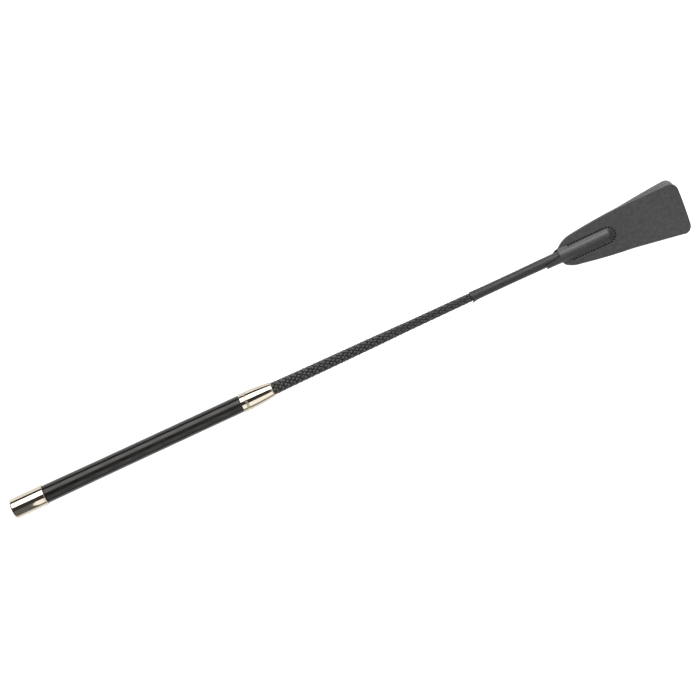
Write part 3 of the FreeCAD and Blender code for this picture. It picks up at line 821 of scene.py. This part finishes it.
def across_surface(points):
    """Unit normals of a grid of points."""
    along, sideways = np.gradient(points, axis=0), np.gradient(points, axis=1)
    normal = np.cross(along, sideways)
    return normal / np.maximum(np.linalg.norm(normal, axis=-1, keepdims=True), 1e-9)


def make_leather(name, side, rise, relax, body, *nodes):
    """One leather of the flapper, from its neck to its free end. Side is 1 for the front, -1 for the back."""
    ripple_height, ripple_along, ripple_across, edge_round = 0.12, 9, 14, 0.5
    stitch_shade_reach, neck_darkening, darkening_end, darkening_fade = 1.15, 0.8, 526, 9
    paint_width, paint_fade = 0.15, 0.35
    x, y, to_edge = sheet_grid(side)
    height = crown(x, y)
    angle, along, up = bend(x, rise, relax)
    free = smoothstep((x - BEND_START) / BEND_SPREAD)
    ripple = ripple_height * np.sin(x / ripple_along + y / ripple_across) * free
    middle = np.stack([along - np.sin(angle) * height, y, up + np.cos(angle) * height + ripple], axis=-1)
    normal = across_surface(middle)
    normal *= np.sign(normal[len(normal) // 2, normal.shape[1] // 2, 2])
    rim = 1 - np.clip(to_edge / edge_round, 0, 1)
    half = leather_thickness(x) / 2 * np.sqrt(np.clip(1 - rim**2, 0.04, 1))
    outside = middle + normal * (half - seam_groove(x, y))[..., None]
    inside = middle - normal * half[..., None]
    for layer in (outside, inside):
        layer[..., 2] *= side
    rows, columns = x.shape
    points, faces = shell([outside.reshape(-1, 3), inside.reshape(-1, 3)], rows, columns)
    uv = np.stack([x.ravel(), y.ravel()], axis=-1)
    piece = make_piece(name, points, faces, LEATHER, uv=np.concatenate([uv, uv]), edge_angle=60)
    # Painted shade: the colour is darkened under and round each stitch, as if shade fell in the stitch holes; the
    # same mask makes the leather matt there.
    stitch_shade_and_matt = under_stitch(x, y, stitch_shade_reach)
    # The leather is made darker towards the neck, fading out just past it.
    darker_neck = neck_darkening * (1 - smoothstep((x - darkening_end) / darkening_fade))
    painted_rim = 1 - smoothstep((to_edge - paint_width) / paint_fade)
    # Near-black mix: the real painted rim, painted shade at the stitches and the darker neck.
    paint_shade_and_dark_neck = np.maximum(painted_rim, np.maximum(stitch_shade_and_matt, darker_neck)).ravel()
    flesh = np.concatenate([np.zeros(x.size), np.ones(x.size)])
    add_values(piece, "edge_paint_stitch_shade_dark_neck", np.concatenate([paint_shade_and_dark_neck, paint_shade_and_dark_neck]))
    add_values(piece, "flesh_side", flesh)
    add_values(piece, "waxed_seam", np.concatenate([stitch_shade_and_matt.ravel(), np.zeros(x.size)]))
    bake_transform(piece)
    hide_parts(*nodes)


def add_values(piece, name, values):
    """A named value at every point of a mesh, for its material to read."""
    attribute = piece.data.attributes.new(name, "FLOAT", "POINT")
    attribute.data.foreach_set("value", np.asarray(values, np.float32))


def make_stitches():
    """Thread of the seam, on the front and on the back: each stitch dives into the leather at its ends."""
    rings, sides, dive = 9, 8, 0.4
    around = np.linspace(0, 2 * math.pi, sides, endpoint=False)
    step = np.linspace(-1, 1, rings)
    points, faces = [], []
    for side in (1, -1):
        for number in range(STITCH_COUNT):
            travel = FIRST_STITCH + STITCH_PITCH * number + step * STITCH_LENGTH / 2
            x, y = seam_point(travel)
            top = crown(x, y) + leather_thickness(x) / 2 - seam_groove(x, y)
            z = top + THREAD_RADIUS * 0.5 - dive * step**4
            tangent = np.stack([np.gradient(x), np.gradient(y)], axis=-1)
            tangent /= np.linalg.norm(tangent, axis=-1, keepdims=True)
            girth = THREAD_RADIUS * np.sqrt(1 - 0.55 * step**4)
            offset = girth[:, None] * np.cos(around)[None, :]
            ring_x = x[:, None] - tangent[:, 1][:, None] * offset
            ring_y = y[:, None] + tangent[:, 0][:, None] * offset
            ring_z = z[:, None] + girth[:, None] * np.sin(around)[None, :]
            first = len(points) * rings * sides
            points.append(np.stack([ring_x, ring_y, side * ring_z], axis=-1).reshape(-1, 3))
            faces += grid_faces(rings, sides, wrap=True, first=first)
            faces.append([first + k for k in range(sides)])
            faces.append([first + (rings - 1) * sides + k for k in reversed(range(sides))])
    piece = make_piece("pocket_stitches", np.concatenate(points), faces, THREAD, edge_angle=80)
    settle(piece, STICK, "thread", "pocket_stitching")


# How far a leaf's outermost corner lies beyond the height to which the leather's middle bends.
FRONT_CORNER, BACK_CORNER = 2.2, 1.75
front_rise = box_mm("front_leaf")[1][2] - FRONT_CORNER
back_rise = -box_mm("back_leaf")[0][2] - BACK_CORNER
make_leather("front_leather", 1, front_rise, 0.0, "front_flap", "front_panel", "front_leaf")
make_leather("back_leather", -1, back_rise, 0.75, "back_flap", "back_panel", "back_leaf")
make_stitches()


# ---------------------------------------------------------------- finishes of the pieces that CAD made

FINISHES = {
    "plug_wood": plain_inner("plug_wood", (0.30, 0.19, 0.10), (0.45, 0.31, 0.18), 0.6, 300),
    "fibreglass": plain_inner("fibreglass", (0.55, 0.54, 0.42), (0.70, 0.69, 0.56), 0.35, 500),
    "handle_plastic": plain_inner("handle_plastic", (0.03, 0.03, 0.03), (0.05, 0.05, 0.05), 0.55, 400),
    "underlay_yarn": plain_inner("underlay_yarn", (0.008, 0.008, 0.008), (0.02, 0.02, 0.02), 0.8, 1500),
    "tip_rubber": plain_inner("tip_rubber", (0.02, 0.02, 0.02), (0.035, 0.035, 0.035), 0.7, 600),
    "thread": THREAD,
    "nickel": NICKEL,
    "grip_cover": GRIP,
    "braid": STRAND,
    "sleeve_wrap": SLEEVE,
    "flap_leather": LEATHER,
}
for subpart in frame["record"]["subparts"]:
    node = frame["nodes"][subpart["node"]]
    node.data.materials.clear()
    node.data.materials.append(FINISHES[subpart["material_slot"]])


# ---------------------------------------------------------------- floor, lights and camera


def square_ring(reach):
    """The four corners of a square round the origin."""
    return [(-reach, -reach), (reach, -reach), (reach, reach), (-reach, reach)]


def make_floor():
    """Plain pale table top under the crop."""
    mesh = bpy.data.meshes.new("table")
    corners = [(x, y, floor_height) for x, y in square_ring(6.0)]
    mesh.from_pydata(corners, [], [(0, 1, 2, 3)])
    mesh.materials.append(glowing("table_white", (0.5, 0.5, 0.5), 0.9, 0.75))
    floor = bpy.data.objects.new("table", mesh)
    bpy.context.scene.collection.objects.link(floor)


def make_backdrop():
    """White walls far behind the table, seen by the camera only."""
    reach, height, bottom = 20.0, 12.0, -3.0
    corners = [(x, y, z) for z in (bottom, height) for x, y in square_ring(reach)]
    walls = [(k, (k + 1) % 4, 4 + (k + 1) % 4, 4 + k) for k in range(4)]
    mesh = bpy.data.meshes.new("backdrop")
    mesh.from_pydata(corners, [], walls)
    mesh.materials.append(glowing("backdrop_white", (0, 0, 0), 1.0, 1.0))
    backdrop = bpy.data.objects.new("backdrop", mesh)
    backdrop.visible_diffuse = False
    backdrop.visible_glossy = False
    backdrop.visible_shadow = False
    bpy.context.scene.collection.objects.link(backdrop)


def aim(thing, target):
    direction = Vector(target) - thing.location
    thing.rotation_euler = direction.to_track_quat("-Z", "Y").to_euler()


def softbox(name, place, target, width, height, radiance, colour=(1, 1, 1)):
    """A rectangular light whose surface has a given radiance."""
    data = bpy.data.lights.new(name, "AREA")
    data.shape = "RECTANGLE"
    data.size, data.size_y = width, height
    data.energy = radiance * math.pi * width * height
    data.color = colour
    light = bpy.data.objects.new(name, data)
    bpy.context.scene.collection.objects.link(light)
    light.location = place
    light.visible_camera = False
    aim(light, target)
    return light


def card(name, corners, colour):
    """A flat card that only reflections see."""
    mesh = bpy.data.meshes.new(name)
    mesh.from_pydata(corners, [], [(0, 1, 2, 3)])
    mesh.materials.append(new_material(name, colour, 1.0))
    piece = bpy.data.objects.new(name, mesh)
    piece.visible_camera = False
    piece.visible_diffuse = False
    piece.visible_shadow = False
    bpy.context.scene.collection.objects.link(piece)


def square_card(name, low, high, colour):
    """A card square to the axes, from its lowest to its highest corner."""
    (x0, y0, z0), (x1, y1, z1) = low, high
    flat = z0 == z1
    corners = [(x0, y0, z0), (x1, y0 if flat else y1, z0), (x1, y1, z1), (x0, y1 if flat else y0, z1)]
    card(name, corners, colour)


def beside(station, angle, distance):
    """A place square to the crop at a station, at an angle from straight up towards its +Y side."""
    turn = math.radians(angle)
    return Vector((station, math.sin(turn) * distance, math.cos(turn) * distance))


def make_studio():
    """Softboxes on the far side, on the near side and over the tip, with dark gaps between them."""
    world = bpy.data.worlds.new("studio")
    world.use_nodes = True
    world.node_tree.nodes["Background"].inputs["Color"].default_value = (1, 1, 1, 1)
    world.node_tree.nodes["Background"].inputs["Strength"].default_value = 0.38
    bpy.context.scene.world = world
    middle, butt_side = 0.33, -0.27
    softbox("far_softbox", beside(middle, 57, 1.6), (middle, 0, 0), 3.0, 1.7, 4.4, (1, 0.99, 0.97))
    softbox("near_softbox", beside(butt_side, -40, 1.6), (butt_side, 0, 0), 1.86, 1.5, 1.8, (1, 0.98, 0.955))
    softbox("tip_softbox", (1.6, 0.3, 1.9), (1.6, 0.3, 0), 1.76, 1.45, 2.0)
    black = (0.04, 0.04, 0.04)
    low, left, right, overhead = floor_height + 0.0005, -2.0, 2.6, 2.1
    square_card("overhead_card", (left, -0.5, overhead), (right, 1.16, overhead), black)
    square_card("table_edge_card", (left, 0.06, low), (0.53, 0.06, 0.0175), black)
    square_card("end_card", (-0.12, -0.15, low), (-0.12, 0.15, 0.2), black)
    ends = [(-0.3, -13), (-0.3, -70), (-0.010, -70), (-0.0175, -13)]
    card("butt_card", [beside(station, angle, 0.15) for station, angle in ends], (0.12, 0.12, 0.12))


def make_camera():
    """Long lens, nearly straight down, turned so that the crop climbs to the right."""
    tilt, roll = math.radians(15), math.radians(24.88)
    lens, sensor, field = 100.0, 36.0, 0.616
    target = Vector((0.329, 0.00255, 0))
    toward = Vector((0, math.sin(tilt), math.cos(tilt)))
    level_up = Vector((0, math.cos(tilt), -math.sin(tilt)))
    level_right = Vector((1, 0, 0))
    right = level_right * math.cos(roll) - level_up * math.sin(roll)
    up = level_right * math.sin(roll) + level_up * math.cos(roll)
    data = bpy.data.cameras.new("camera")
    data.lens, data.sensor_width = lens, sensor
    data.clip_end = 50
    camera = bpy.data.objects.new("camera", data)
    bpy.context.scene.collection.objects.link(camera)
    distance = field / 2 / (sensor / 2 / lens)
    rotation = np.array([right, up, toward]).T
    camera.rotation_euler = Matrix(rotation.tolist()).to_euler()
    camera.location = target + toward * distance
    bpy.context.scene.camera = camera


make_floor()
make_backdrop()
make_studio()
make_camera()
bpy.context.scene.view_settings.view_transform = "Standard"
